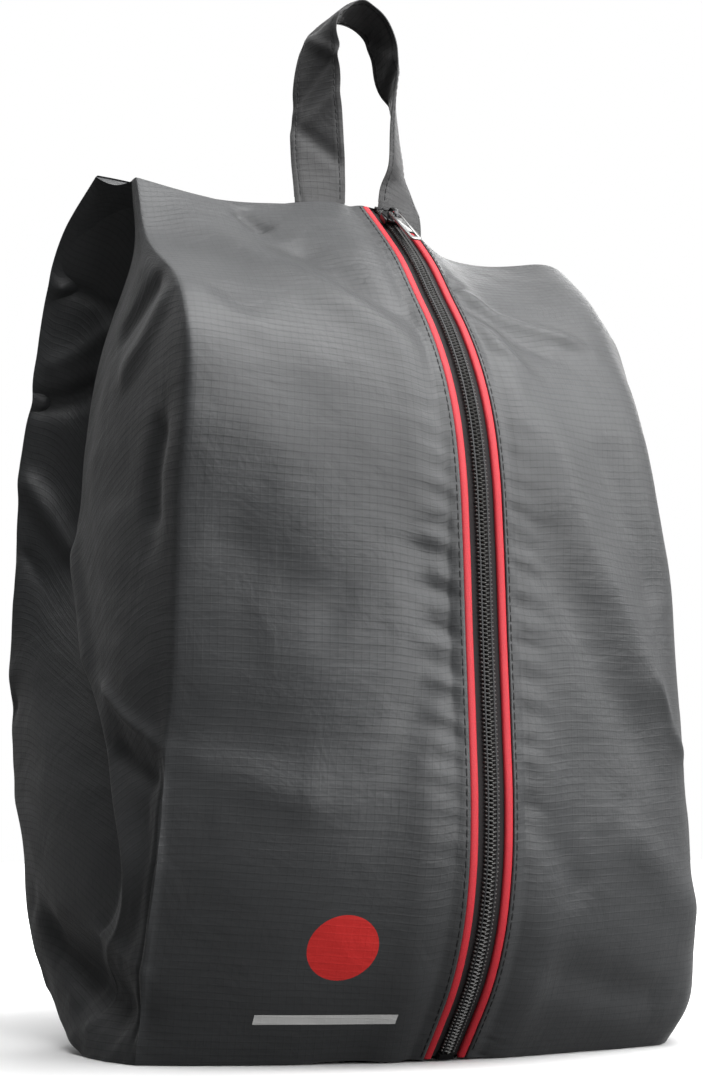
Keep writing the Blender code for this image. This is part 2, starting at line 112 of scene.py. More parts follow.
BACK_MIDDLE = (
    (0, 94, 3), (0, 108, 60), (0, 113, 130), (0, 113, 200), (0, 106, 260), (0, 88, 308),
    (0, 56, 345), (0, 24, 368), (0, 4, 377),
)
EDGES = ("edge", "flank", "lip", "valley", "back")


# How far the ridge sags below a straight line from the zip to its corner: (mm, share of the way)
LEFT_SAG = ((0, 0), (0, 0.10), (2.5, 0.32), (7.5, 0.48), (6.0, 0.65), (4.0, 0.80), (0, 1))
RIGHT_SAG = (
    (0, 0), (7, 0.07), (14, 0.16), (16, 0.30), (13, 0.45), (8, 0.62), (-1, 0.85), (-3.5, 0.94), (0, 1),
)

ROWS = 300
FRONT_STEPS, FLANK_STEPS, LIP_STEPS, VALLEY_STEPS, POCKET_STEPS, BACK_STEPS = 150, 56, 50, 40, 76, 80
EDGE_COL = FRONT_STEPS
FLANK_COL = EDGE_COL + FLANK_STEPS
LIP_COL = FLANK_COL + LIP_STEPS
VALLEY_COL = LIP_COL + VALLEY_STEPS
BACK_COL = VALLEY_COL + POCKET_STEPS

PANEL_START = 9.6  # the fabric's folded edge beside the piping, from the zip's middle, in mm
PANEL_RISE = 1.7  # how far that edge stands over the zip tape, in mm
PANEL_RETURN = ((10.6, -0.4), (9.9, 0.3), (9.5, 1.0))  # the folded edge's way back in, as (x, height)

# Folds as (path in mm, height in mm, half width in mm, kind); a crease is a ridge with a sharp top
LEFT_FOLDS = (
    (((-112, -6, 366), (-78, -34, 337), (-51, -65, 310), (-24, -79, 288)), 4.4, 12, "ridge"),
    (((-58, -28, 348), (-37, -58, 318), (-14, -75, 296)), -3.6, 9, "ridge"),
    (((-72, -8, 368), (-63, -22, 353)), -7.0, 5, "ridge"),
    (((-100, -56, 318), (-86, -80, 280), (-60, -92, 240)), -2.0, 16, "ridge"),
    (((-116, -66, 316), (-100, -78, 300), (-82, -84, 286)), 1.6, 7, "ridge"),
    (((-110, -74, 205), (-84, -90, 190), (-52, -98, 168)), -1.6, 14, "ridge"),
    (((-117, -60, 121), (-92, -78, 112), (-60, -92, 98)), 1.5, 9, "ridge"),
    (((-30, -100, 215), (-22, -101, 170), (-34, -98, 120)), -2.4, 9, "ridge"),
    (((-118, -40, 37), (-122, -8, 48), (-125, 24, 58), (-130, 47, 71), (-133, 80, 95), (-138, 105, 109)),
     4.2, 3.6, "crease"),
    (((-120, -34, 18), (-124, 4, 26), (-130, 44, 42), (-133, 66, 60)), -9.0, 11, "ridge"),
    (((-120, -61, 121), (-124, -42, 131), (-127, -22, 143), (-129, -6, 151)), 3.8, 3.0, "crease"),
    (((-119, -56, 108), (-122, -38, 116), (-126, -18, 126)), -3.4, 6, "ridge"),
    (((-118, -28, 4), (-119, -43, 40), (-120, -59, 80), (-120, -62, 118)), 1.5, 1.3, "crease"),
    (((-119, -24, 4), (-120, -39, 40), (-121, -55, 80), (-121, -58, 116)), -1.6, 1.6, "ridge"),
    (((-124, 56, 226), (-129, 29, 181), (-129, 8, 150)), 3.4, 7, "ridge"),
    (((-122, -62, 256), (-124, -52, 232), (-124, -50, 205)), -3.6, 8, "ridge"),
    (((-121, -62, 308), (-124, -36, 290), (-125, -8, 276)), 2.4, 7, "ridge"),
    (((-120, -48, 318), (-123, -26, 306), (-124, 0, 296)), -2.6, 6, "ridge"),
    (((-138, 84, 304), (-122, 74, 312), (-104, 58, 326)), 6.5, 4.5, "crease"),
    (((-139, 96, 290), (-122, 84, 292), (-104, 70, 300)), -5.5, 6, "ridge"),
    (((-137, 82, 347), (-120, 66, 340), (-104, 52, 330)), -5.0, 4.5, "crease"),
    (((-139, 106, 262), (-126, 98, 240), (-112, 90, 214)), 4.5, 6, "ridge"),
    (((-139, 110, 226), (-128, 104, 210), (-114, 95, 186)), -3.4, 6, "crease"),
    (((-139, 114, 160), (-128, 108, 168), (-112, 98, 180)), 4.0, 5, "crease"),
    (((-139, 113, 148), (-128, 104, 150), (-114, 96, 156)), -4.4, 6, "ridge"),
    (((-134, 74, 60), (-130, 46, 36), (-126, 20, 16)), 2.4, 6, "crease"),
)
RIGHT_FOLDS = (
    (((11, -50, 330), (31, -58, 315), (48, -60, 310), (76, -60, 302)), 3.8, 4.5, "ridge"),
    (((14, -56, 322), (34, -68, 305), (56, -72, 296)), -3.2, 6, "ridge"),
    (((10, -61, 314), (22, -75, 294), (36, -82, 280)), 2.0, 4, "ridge"),
    (((12, -47, 332), (16, -52, 326)), -3.4, 5, "ridge"),
    (((30, -84, 274), (42, -96, 225), (57, -95, 200), (100, -82, 132)), 3.6, 13, "ridge"),
    (((22, -96, 236), (34, -100, 196), (58, -100, 160), (96, -90, 104)), -2.6, 13, "ridge"),
    (((62, -84, 262), (78, -86, 224), (98, -80, 180)), -2.0, 12, "ridge"),
    (((84, -84, 160), (100, -82, 134), (116, -70, 118)), 2.4, 4, "crease"),
    (((30, -84, 40), (70, -78, 26), (108, -66, 20)), -2.6, 10, "ridge"),
    (((60, -96, 96), (96, -84, 70), (124, -60, 52)), 2.4, 11, "ridge"),
    (((12, -104, 110), (30, -102, 84), (50, -96, 60)), -1.8, 9, "ridge"),
)


def run_lengths(points):
    """The distance along a line of points to each of them, from the first."""
    return np.concatenate([[0], np.cumsum(np.linalg.norm(np.diff(points, axis=0), axis=1))])


def unit(vectors):
    """Rows of vectors brought to length 1."""
    return vectors / np.linalg.norm(vectors, axis=1)[:, None]


def hermite(points, at):
    """Values at the places given, on a smooth curve through rows of (values..., place)."""
    table = np.array(sorted(points, key=lambda p: p[-1]), float)
    spots, values = table[:, -1], table[:, :-1]
    slope = np.gradient(values, spots, axis=0)
    at = np.clip(np.asarray(at, float), spots[0], spots[-1])
    k = np.clip(np.searchsorted(spots, at) - 1, 0, len(spots) - 2)
    step = (spots[k + 1] - spots[k])[..., None]
    f = ((at - spots[k]) / (spots[k + 1] - spots[k]))[..., None]
    return (
        values[k] * (1 + 2 * f) * (1 - f) ** 2
        + values[k + 1] * f ** 2 * (3 - 2 * f)
        + step * slope[k] * f * (1 - f) ** 2
        - step * slope[k + 1] * f ** 2 * (1 - f)
    )


def upright(line, shares):
    """Points on an upright line at shares of its height, as an array of (x, y, z)."""
    heights = [p[2] for p in line]
    z = min(heights) + (max(heights) - min(heights)) * shares
    return np.column_stack([hermite(line, z), z])


def zip_points(shares):
    """Points of the zip's line at shares of its height, from the base up."""
    heights = [p[1] for p in ZIP_LINE]
    z = min(heights) + (max(heights) - min(heights)) * shares
    y = hermite(ZIP_LINE, z)[:, 0]
    return np.column_stack([np.zeros_like(y), y, z])


def gaussian(points, sigma, axis):
    """Smooth a grid of points along one axis, holding its two ends."""
    reach = int(3 * sigma) + 1
    kernel = np.exp(-0.5 * (np.arange(-reach, reach + 1) / sigma) ** 2)
    kernel /= kernel.sum()
    moved = np.moveaxis(points, axis, 0)
    head = 2 * moved[:1] - moved[reach:0:-1]
    tail = 2 * moved[-1:] - moved[-2:-reach - 2:-1]
    padded = np.concatenate([head, moved, tail])
    out = sum(w * padded[k:k + len(moved)] for k, w in enumerate(kernel))
    return np.moveaxis(out, 0, axis)


def row_shares():
    """Row heights as shares, closer together at the base and at the shoulder."""
    t = np.linspace(0, 1, ROWS)
    return 0.5 * t + 0.5 * (0.5 - 0.5 * np.cos(math.pi * t))


def zip_outward(points):
    """Unit vectors square to the zip's line, out of the bag."""
    tangent = unit(np.gradient(points, axis=0))
    return np.column_stack([np.zeros(len(points)), -tangent[:, 2], tangent[:, 1]])


def side_ring(side, lines):
    """One half of the shell, from beside the zip round to the middle of the back."""
    shares = row_shares()
    zipper = zip_points(shares)
    outward = zip_outward(zipper)
    start = zipper + outward * PANEL_RISE
    start[:, 0] = side * PANEL_START
    keys = [upright(lines[name], shares) for name in EDGES]
    middle = upright(BACK_MIDDLE, shares)

    grid = []
    u = np.linspace(0, 1, FRONT_STEPS, endpoint=False)[None, :]
    span = keys[0] - start
    crown = 1.55 if side < 0 else 1.8
    front = start[:, None] + span[:, None] * u[..., None]
    front[..., 1] = start[:, None, 1] + span[:, None, 1] * u ** crown
    front[..., 2] = start[:, None, 2] + span[:, None, 2] * u ** 1.2
    sag = LEFT_SAG if side < 0 else RIGHT_SAG
    topness = np.clip((shares - 0.70) / 0.30, 0, 1) ** 1.6
    front[..., 2] -= topness[:, None] * hermite(sag, u[0])[None, :, 0]
    grid.append(front)
    counts = (FLANK_STEPS, LIP_STEPS, VALLEY_STEPS, POCKET_STEPS)
    for low, high, count in zip(keys, keys[1:], counts):
        u = np.linspace(0, 1, count, endpoint=False)[None, :, None]
        grid.append(low[:, None] * (1 - u) + high[:, None] * u)
    belly = np.clip((230 - keys[-1][:, 2]) / 90, 0, 1) * np.clip((keys[-1][:, 2] - 30) / 40, 0, 1)
    grid[-1][..., 0] += side * 7.0 * belly[:, None] * np.sin(math.pi * u[..., 0])
    u = np.linspace(0, 1, BACK_STEPS)[None, :]
    span = middle - keys[-1]
    back = keys[-1][:, None] + span[:, None] * u[..., None]
    back[..., 1] = middle[:, None, 1] - span[:, None, 1] * (1 - u) ** 2.2
    back[..., 2] -= topness[:, None] * hermite(sag, 1 - u[0])[None, :, 0]
    grid.append(back)
    return np.concatenate(grid, axis=1)


def bell(index, centre, width):
    """A smooth hump of height 1."""
    return np.exp(-((index - centre) / width) ** 2)


def soften(ring, side):
    """Round the folds of a half shell by amounts that vary round it and up it."""
    index = np.arange(ring.shape[1])[None, :]
    z = ring[:, :1, 2]
    low_crisp = 1 / (1 + np.exp((z - 120) / 4.0)) if side < 0 else 0.5 / (1 + np.exp((z - 50) / 12.0))
    radius = np.full(ring.shape[:2], 9.0)
    radius += (-5.5 if side < 0 else 4.0) * bell(index, EDGE_COL, 26)
    radius *= 1 - 0.97 * bell(index, EDGE_COL, 22) * low_crisp
    fold = (0.70 if side < 0 else 0.2) * bell(index, LIP_COL, 22)
    valley = (0.60 if side < 0 else 0.2) * bell(index, VALLEY_COL, 18)
    seam = 0.93 * bell(index, BACK_COL, 20)
    radius *= (1 - fold) * (1 - valley) * (1 - seam)
    radius *= 1 - np.exp(-(index / 6.0) ** 2)
    levels = (0.0, 1.5, 3.0, 6.0, 10.0, 15.0)
    stack = [ring] + [gaussian(ring, level, 1) for level in levels[1:]]
    out = np.zeros_like(ring)
    for k, level in enumerate(levels):
        below = levels[k - 1] if k else level - 1
        above = levels[k + 1] if k + 1 < len(levels) else level + 1
        rising = np.clip((radius - below) / (level - below), 0, 1)
        falling = np.clip((above - radius) / (above - level), 0, 1)
        share = np.minimum(rising, falling)
        if k + 1 == len(levels):
            share = rising
        if k == 0:
            share = falling
        out += stack[k] * share[..., None]
    return gaussian(out, 1.5, 0)


def path_distance(grid, path):
    """Distance to a path of straight runs, and how far along it the nearest spot is, as a share."""
    path = np.array(path, float)
    runs = np.linalg.norm(np.diff(path, axis=0), axis=1)
    best = np.full(grid.shape[:2], 1e9)
    share = np.zeros(grid.shape[:2])
    covered = 0.0
    for start, end, run in zip(path, path[1:], runs):
        along = (end - start) / run
        t = np.clip((grid - start) @ along, 0, run)
        away = np.linalg.norm(grid - start - t[..., None] * along, axis=2)
        nearer = away < best
        best = np.where(nearer, away, best)
        share = np.where(nearer, (covered + t) / runs.sum(), share)
        covered += run
    return best, share


def soft_noise(shape, cell_rows, cell_cols, seed):
    """Smooth random heights between about -1 and 1 over a grid, with cells of the given sizes."""
    rng = np.random.default_rng(seed)
    rows, cols = shape
    coarse = rng.standard_normal((int(rows / cell_rows) + 4, int(cols / cell_cols) + 4))

    def stretch(values, count, cell):
        at = np.arange(count) / cell + 1.0
        k = at.astype(int)
        f = (at - k)[:, None]
        f = f * f * (3 - 2 * f)
        return values[k] * (1 - f) + values[k + 1] * f

    tall = stretch(coarse, rows, cell_rows)
    return stretch(tall.T, cols, cell_cols).T * 0.6


def outward_of(grid, side):
    """Unit vectors out of the bag at every point of a half shell."""
    up = np.gradient(grid, axis=0)
    along = np.gradient(grid, axis=1)
    normal = np.cross(along, up) * side
    return normal / np.maximum(np.linalg.norm(normal, axis=2), 1e-9)[..., None]


SHARPNESS = {"ridge": 2.0, "crease": 1.25}
PUCKER_PITCH, MIXED_PITCH, DRAWN_PITCH = 4.6, 7.9, 13.0  # how far apart the gathers are, in mm
GATHER_MIDDLE, GATHER_REACH = 190.0, 70.0  # where they are strongest, up the zip from the base, in mm
# Slack as (rows a cell, columns a cell, seed, height on the panels, extra height in the gusset)
SLACK = ((46, 40, 11, 1.0, 0.0), (15, 24, 23, 0.20, 0.40), (5, 12, 37, 0.06, 0.12))


def fold(grid, folds, side):
    """Raise ridges and press creases along their paths, then add puckers and slack in the cloth."""
    normal = outward_of(grid, side)
    lift = np.zeros(grid.shape[:2])
    for path, height, width, kind in folds:
        away, share = path_distance(grid, path)
        fade = np.clip(np.minimum(share, 1 - share) * 5, 0, 1)
        fade = 0.25 + 0.75 * fade * fade * (3 - 2 * fade)
        lift += height * np.exp(-(away / width) ** SHARPNESS[kind]) * fade

    # Puckers beside the zip, where the cloth is gathered by its stitches
    across = run_lengths(grid[ROWS // 2])
    upward = run_lengths(grid[:, 0])
    s = upward[:, None] + across[None, :] * 0.25 * side
    beside = across[None, :]
    strength = 0.5 + 0.5 * np.sin(upward / 23.0 + side) * np.sin(upward / 9.7 + 1.0)
    pucker = np.sin(s * 2 * math.pi / PUCKER_PITCH + 1.4 * np.sin(s / 11.0))
    pucker += 0.6 * np.sin(s * 2 * math.pi / MIXED_PITCH + 2.0)
    reach = 7.0 + 4.0 * np.sin(upward / 31.0 + 2.0)[:, None]
    gather = bell(upward, GATHER_MIDDLE, GATHER_REACH)[:, None] * (1.5 if side < 0 else 0.9)
    fade = np.exp(-beside / reach) * np.clip(beside / 2.0, 0, 1)
    lift += (0.50 + 0.35 * gather) * strength[:, None] * pucker * fade
    drawn = np.sin(s * 2 * math.pi / DRAWN_PITCH + 1.1 * np.sin(s / 19.0)) * bell(beside, 9.0, 9.0)
    lift += 0.55 * gather * drawn
    lift -= 0.9 * bell(beside, 5.0, 4.0)
    lift += 1.3 * bell(beside, 17.0, 8.0) * (0.6 + 0.4 * np.sin(upward / 40.0))[:, None]

    # Slack in the cloth, more of it in the gusset
    index = np.arange(grid.shape[1])[None, :]
    gusset = 1 / (1 + np.exp(-(index - EDGE_COL - 10) / 8.0))
    for cell_rows, cell_cols, seed, height, extra in SLACK:
        lift += soft_noise(lift.shape, cell_rows, cell_cols, seed + side) * (height + extra * gusset)

    # Nothing moves beside the zip, along the middle of the back, or in the closed corner on top
    hold = np.clip(beside / 6.0, 0.0, 1.0) * np.clip((beside[:, -1:] - beside) / 40.0, 0.0, 1.0)
    closed = bell(index, (EDGE_COL + LIP_COL) / 2, 75) * np.clip((grid[..., 2] - 318) / 20.0, 0.0, 1.0)
    hold = hold * (1 - np.clip(1.4 * closed, 0, 1))
    folded = gaussian(grid + normal * (lift * hold)[..., None], 0.8, 0)
    folded[..., 2] = np.maximum(folded[..., 2], 0.3)
    return folded


def length_uv(grid):
    """A chart of the cloth in metres: distance round the bag and distance up it."""
    across = np.linalg.norm(np.diff(grid, axis=1), axis=2)
    upward = np.linalg.norm(np.diff(grid, axis=0), axis=2)
    u = np.concatenate([np.zeros((len(grid), 1)), np.cumsum(across, axis=1)], axis=1)
    v = np.concatenate([np.zeros((1, grid.shape[1])), np.cumsum(upward, axis=0)], axis=0)
    return np.stack([u, v], axis=2) * MM


def mesh_object(name, points, faces, material, chart=None):
    """A smooth object from points in mm and faces, with its chart in metres as the UV map."""
    mesh = bpy.data.meshes.new(name)
    mesh.from_pydata((points * MM).tolist(), [], faces)
    if chart is not None:
        layer = mesh.uv_layers.new(name="cloth")
        loops = np.empty(len(mesh.loops), dtype=np.int32)
        mesh.loops.foreach_get("vertex_index", loops)
        layer.data.foreach_set("uv", chart[loops].ravel())
    mesh.shade_smooth()
    mesh.materials.append(material)
    piece = bpy.data.objects.new(name, mesh)
    bpy.context.collection.objects.link(piece)
    return piece


def grid_object(name, grid, material):
    """A sheet from a grid of points in mm."""
    rows, cols = grid.shape[:2]
    index = np.arange(rows * cols).reshape(rows, cols)
    faces = np.stack([index[:-1, :-1], index[:-1, 1:], index[1:, 1:], index[1:, :-1]], axis=2)
    chart = length_uv(grid).reshape(-1, 2)
    return mesh_object(name, grid.reshape(-1, 3), faces.reshape(-1, 4).tolist(), material, chart)


# Materials

class Nodes:
    """Short calls for building a material's node tree."""

    def __init__(self, name):
        self.material = bpy.data.materials.new(name)
        self.material.use_nodes = True
        self.tree = self.material.node_tree
        self.shader = self.tree.nodes["Principled BSDF"]

    def add(self, kind, inputs=None, **settings):
        node = self.tree.nodes.new(kind)
        for key, value in settings.items():
            setattr(node, key, value)
        for key, value in (inputs or {}).items():
            if isinstance(value, bpy.types.NodeSocket):
                self.tree.links.new(value, node.inputs[key])
            else:
                node.inputs[key].default_value = value
        return node

    def math(self, operation, first, second=0.0, third=0.0):
        node = self.add("ShaderNodeMath", {0: first, 1: second, 2: third}, operation=operation)
        return node.outputs[0]

    def noise(self, vector, scale, detail, distortion=0.0):
        inputs = {"Vector": vector, "Scale": scale, "Detail": detail, "Distortion": distortion}
        return self.add("ShaderNodeTexNoise", inputs).outputs[0]

    def stretched(self, vector, across, up):
        return self.add("ShaderNodeMapping", {"Vector": vector, "Scale": (across, up, 1.0)}).outputs[0]

    def blend(self, value, dark, light, low, high):
        """A colour between two, as the value rises between two levels."""
        node = self.add("ShaderNodeValToRGB", {0: value})
        for end, level, colour in zip(node.color_ramp.elements, (low, high), (dark, light)):
            end.position = level
            end.color = (*colour, 1)
        return node.outputs[0]

    def link(self, value, socket):
        self.tree.links.new(value, self.shader.inputs[socket])

    def set(self, **values):
        for key, value in values.items():
            self.shader.inputs[key.replace("_", " ")].default_value = value


def ripstop(name, dark, light, roughness, print_marks=False):
    """Ripstop nylon: a fine plain weave with a raised thread every few millimetres both ways."""
    n = Nodes(name)
    chart = n.add("ShaderNodeUVMap", uv_map="cloth").outputs["UV"]
    wander = n.noise(n.stretched(chart, 22.0, 22.0), 1.0, 2.0)
    split = n.add("ShaderNodeSeparateXYZ", {0: chart})
    drift = n.math("MULTIPLY_ADD", wander, 0.0022, -0.0011)
    warp, weft = split.outputs[0], n.math("ADD", split.outputs[1], drift)

    def wave(axis, period):
        return n.math("SINE", n.math("MULTIPLY", axis, 2 * math.pi / period))

    weave = n.math("ADD", n.math("ABSOLUTE", wave(warp, 0.0009)), n.math("ABSOLUTE", wave(weft, 0.0009)))
    rib_across = n.math("POWER", n.math("ABSOLUTE", wave(weft, 0.0062)), 22.0)
    rib_up = n.math("POWER", n.math("ABSOLUTE", wave(warp, 0.0062)), 26.0)
    ribs = n.math("ADD", rib_across, n.math("MULTIPLY", rib_up, 0.45))
    spot = n.add("ShaderNodeTexCoord").outputs["Object"]
    crinkle = n.noise(n.stretched(chart, 45.0, 190.0), 1.0, 3.0)
    rumple = n.noise(spot, 42.0, 4.0, 0.6)

    shades = n.blend(n.noise(spot, 12.0, 3.0), dark, light, 0.30, 0.72)
    thread = n.math("MULTIPLY_ADD", ribs, -0.16, 1.0)
    shade = n.add("ShaderNodeVectorMath", {0: shades, 3: thread}, operation="SCALE")
    colour = shade.outputs[0]
    if print_marks:
        place_of = n.add("ShaderNodeSeparateXYZ", {0: spot})
        colour = printed(n, place_of.outputs[0], place_of.outputs[2], colour)
    n.link(colour, "Base Color")

    rough = n.math("MULTIPLY_ADD", crinkle, 0.14, roughness - 0.07)
    n.link(n.math("MULTIPLY_ADD", ribs, 0.10, rough), "Roughness")
    fine = n.math("MULTIPLY", weave, 0.00002)
    bands = n.math("MULTIPLY", ribs, 0.00004)
    waves = n.math("MULTIPLY", crinkle, 0.00036)
    lumps = n.math("MULTIPLY", rumple, 0.0010)
    height = n.math("ADD", n.math("ADD", fine, bands), n.math("ADD", waves, lumps))
    bump = n.add("ShaderNodeBump", {"Height": height, "Strength": 0.85, "Distance": 1.0})
    n.link(bump.outputs[0], "Normal")
    n.set(Specular_IOR_Level=0.50, Sheen_Weight=0.14, Sheen_Roughness=0.4)
    return n.material


DOT_CENTRE, DOT_RADIUS = (-0.0535, 0.0465), 0.0125
BAR_CENTRE, BAR_HALF = (-0.0535, 0.0185), (0.026, 0.0019)


def printed(n, x, z, colour):
    """A plain round dot with a thin bar under it, printed on the cloth."""
    dx, dz = n.math("SUBTRACT", x, DOT_CENTRE[0]), n.math("SUBTRACT", z, DOT_CENTRE[1])
    reach = n.math("SQRT", n.math("ADD", n.math("MULTIPLY", dx, dx), n.math("MULTIPLY", dz, dz)))
    dot = n.math("LESS_THAN", reach, DOT_RADIUS)
    wide = n.math("LESS_THAN", n.math("ABSOLUTE", n.math("SUBTRACT", x, BAR_CENTRE[0])), BAR_HALF[0])
    tall = n.math("LESS_THAN", n.math("ABSOLUTE", n.math("SUBTRACT", z, BAR_CENTRE[1])), BAR_HALF[1])
    bar = n.math("MULTIPLY", wide, tall)
    for mask, ink in ((dot, (0.62, 0.022, 0.020, 1)), (bar, (0.62, 0.62, 0.61, 1))):
        mixed = n.add("ShaderNodeMix", data_type="RGBA")
        n.tree.links.new(mask, mixed.inputs[0])
        n.tree.links.new(colour, mixed.inputs[6])
        mixed.inputs[7].default_value = ink
        colour = mixed.outputs[2]
    return colour


def plain(name, colour, roughness, metallic=0.0, bump=0.0, scale=900.0, vary=0.12):
    """A material with a fine grain in its colour, roughness and surface."""
    n = Nodes(name)
    grain = n.noise(n.add("ShaderNodeTexCoord").outputs["Object"], scale, 3.0)
    dark, light = ([c * (1 + change) for c in colour] for change in (-vary, vary))
    n.link(n.blend(grain, dark, light, 0.3, 0.7), "Base Color")
    n.link(n.math("MULTIPLY_ADD", grain, 0.14, roughness - 0.07), "Roughness")
    n.set(Metallic=metallic)
    if bump:
        high = n.math("MULTIPLY", grain, bump)
        raised = n.add("ShaderNodeBump", {"Height": high, "Strength": 1.0, "Distance": 1.0})
        n.link(raised.outputs[0], "Normal")
    return n.material


GREYS = ((0.0335, 0.0350, 0.0366), (0.0470, 0.0489, 0.0511))
CLOTH = ripstop("ripstop_nylon", *GREYS, 0.43)
PRINTED = ripstop("ripstop_nylon_printed", *GREYS, 0.43, True)
STRAP = ripstop("strap_nylon", (0.021, 0.021, 0.0215), (0.031, 0.031, 0.032), 0.52)
BINDING = plain("seam_binding", (0.020, 0.020, 0.021), 0.75, bump=0.0001, scale=2500)
TAPE = plain("zip_tape", (0.016, 0.013, 0.014), 0.85, bump=0.0002, scale=2200)
COIL = plain("zip_coil", (0.050, 0.049, 0.047), 0.34, scale=1500)
PIPING = plain("red_piping", (0.52, 0.020, 0.032), 0.62, bump=0.00012, scale=1600, vary=0.10)
THREAD = plain("thread", (0.010, 0.010, 0.011), 0.60, scale=2500)
GUN = plain("slider_metal", (0.055, 0.055, 0.057), 0.30, 0.9, scale=700)
SILVER = plain("tab_metal", (0.34, 0.34, 0.335), 0.36, 1.0, scale=500, vary=0.10)


def place(piece, body, slot, *nodes):
    """Put a piece on its body and let it stand for its CAD nodes; the slot argument is not used."""
    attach(piece, body)
    if nodes:
        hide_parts(*nodes)
    return piece


def solid_object(name, points, faces, material, chart=None):
    """A closed solid, smooth but for its sharp edges."""
    piece = mesh_object(name, points, faces, material, chart)
    piece.data.set_sharp_from_angle(angle=math.radians(50))
    return piece


def loft(name, rings, material, charted=False):
    """A closed solid through an array of rings (stations, points, 3), capped at both ends."""
    rings = np.asarray(rings, float)
    stations, count = rings.shape[:2]
    index = np.arange(stations * count).reshape(stations, count)
    nxt = np.roll(index, -1, axis=1)
    faces = np.stack([index[:-1], nxt[:-1], nxt[1:], index[1:]], axis=2).reshape(-1, 4).tolist()
    faces.append(index[0][::-1].tolist())
    faces.append(index[-1].tolist())
    chart = None
    if charted:
        along = run_lengths(rings.mean(1))
        middle = rings[stations // 2]
        reach = np.linalg.norm(middle - middle[:1], axis=1)
        chart = np.stack([np.tile(reach, (stations, 1)), np.tile(along[:, None], (1, count))], axis=2)
        chart = chart.reshape(-1, 2) * MM
    piece = solid_object(name, rings.reshape(-1, 3), faces, material, chart)
    tidy = bmesh.new()
    tidy.from_mesh(piece.data)
    bmesh.ops.recalc_face_normals(tidy, faces=tidy.faces)
    tidy.to_mesh(piece.data)
    tidy.free()
    return piece


CAPSULE = ((0.0, 0.35), (0.14, 0.85), (0.5, 1.0), (0.86, 0.85), (1.0, 0.35))


def capsules(name, starts, ends, ups, radius, material, shape=CAPSULE, sides=6, flat=1.0):
    """Many short rounded bars at once, such as stitches or the teeth of a coil."""
    starts, ends, ups = (np.asarray(v, float) for v in (starts, ends, ups))
    axis = ends - starts
    beside = unit(np.cross(unit(axis), ups))
    above = np.cross(beside, unit(axis))
    turn = np.arange(sides) * 2 * math.pi / sides
    rings = []
    for t, r in shape:
        centre = starts + axis * t
        around = (
            beside[:, None] * np.cos(turn)[None, :, None]
            + above[:, None] * np.sin(turn)[None, :, None] * flat
        )
        rings.append(centre[:, None] + around * radius * r)
    verts = np.stack(rings, axis=1)
    count, layers = verts.shape[:2]
    index = np.arange(count * layers * sides).reshape(count, layers, sides)
    nxt = np.roll(index, -1, axis=2)
    quads = np.stack([index[:, :-1], nxt[:, :-1], nxt[:, 1:], index[:, 1:]], axis=3).reshape(-1, 4)
    faces = quads.tolist() + index[:, 0, ::-1].tolist() + index[:, -1].tolist()
    return solid_object(name, verts.reshape(-1, 3), faces, material)


# The zip

LINE = zip_points(np.linspace(1, 0, 900))
RUNS = run_lengths(LINE)
OUTWARDS = zip_outward(LINE[::-1])[::-1]
ZIP_LENGTH = RUNS[-1]


def along_zip(s, values):
    """Values listed along the zip's line, read at distances from its top end in mm."""
    return np.stack([np.interp(s, RUNS, values[:, k]) for k in range(3)], axis=-1)


def on_zip(x, s, h):
    """Points over the zip: x across it, s down from its top end, h out of the tape's face, in mm."""
    x, s, h = np.broadcast_arrays(*(np.asarray(v, float) for v in (x, s, h)))
    out = along_zip(s, LINE) + along_zip(s, OUTWARDS) * h[..., None]
    out[..., 0] = x
    return out


def zip_strip(name, section, material, start, end, steps=240):
    """A bar with a fixed section of (x, h) points carried down the zip's line."""
    s = np.linspace(start, end, steps)
    x = np.array([p[0] for p in section])
    h = np.array([p[1] for p in section])
    return loft(name, on_zip(x[None, :], s[:, None], h[None, :]), material)


TOOTH_PITCH = 1.7
TOOTH_RADIUS = 0.52
TOOTH = ((0.0, 0.55), (0.08, 0.95), (0.55, 0.85), (0.80, 1.05), (0.93, 1.15), (1.0, 0.6))


